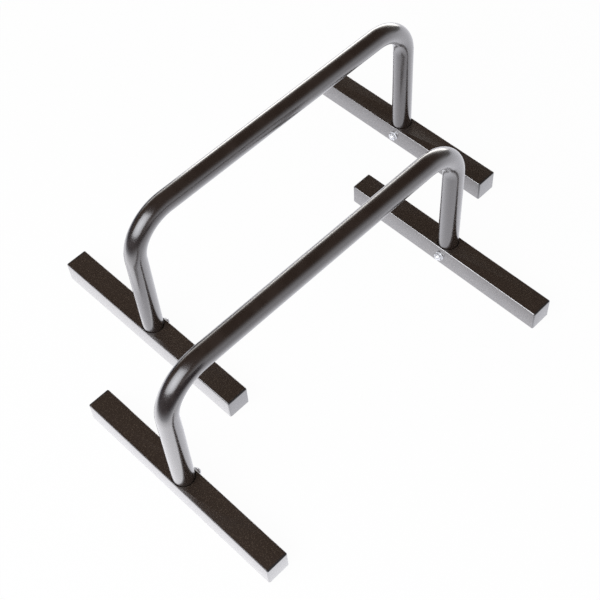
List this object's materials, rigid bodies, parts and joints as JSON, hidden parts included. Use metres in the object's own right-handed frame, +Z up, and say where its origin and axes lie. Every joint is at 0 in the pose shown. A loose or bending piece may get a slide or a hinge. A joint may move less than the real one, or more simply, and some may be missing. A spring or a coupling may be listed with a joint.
{
  "type": "parallette bars",
  "caption": "Low free-standing gymnastics bars for push-ups, dips and handstands: round steel tubes bent to a U and bolted into square-section cross feet with capped ends.",
  "frame": {"origin": "on the floor, midway between the two bars", "axes": "+X along the grips, +Y across the pair along the feet, +Z up from the floor"},
  "size_m": [0.79, 0.64, 0.305],
  "materials": {
    "tube_paint": "satin black paint with a soft sheen",
    "foot_coat": "fine-textured black powder coat",
    "cap_plastic": "fine-grained black plastic",
    "bright_zinc": "bright zinc plating",
    "plain_steel": "bare steel"
  },
  "bodies": {
    "right_bar": {"right_bar_handle": "tube_paint", "right_bar_front_foot": "foot_coat", "right_bar_front_foot_left_cap": "cap_plastic", "right_bar_front_foot_right_cap": "cap_plastic", "right_bar_front_bolt": "bright_zinc", "right_bar_front_washer": "bright_zinc", "right_bar_front_nut": "plain_steel", "right_bar_rear_foot": "foot_coat", "right_bar_rear_foot_left_cap": "cap_plastic", "right_bar_rear_foot_right_cap": "cap_plastic", "right_bar_rear_bolt": "bright_zinc", "right_bar_rear_washer": "bright_zinc", "right_bar_rear_nut": "plain_steel"},
    "left_bar": {"left_bar_handle": "tube_paint", "left_bar_front_foot": "foot_coat", "left_bar_front_foot_left_cap": "cap_plastic", "left_bar_front_foot_right_cap": "cap_plastic", "left_bar_front_bolt": "bright_zinc", "left_bar_front_washer": "bright_zinc", "left_bar_front_nut": "plain_steel", "left_bar_rear_foot": "foot_coat", "left_bar_rear_foot_left_cap": "cap_plastic", "left_bar_rear_foot_right_cap": "cap_plastic", "left_bar_rear_bolt": "bright_zinc", "left_bar_rear_washer": "bright_zinc", "left_bar_rear_nut": "plain_steel"}
  },
  "joints": [
    {"name": "left_bar_spacing", "type": "slide", "parent": "right_bar", "child": "left_bar", "axis": [0, 1, 0], "range_m": [0, 0.36]}
  ]
}
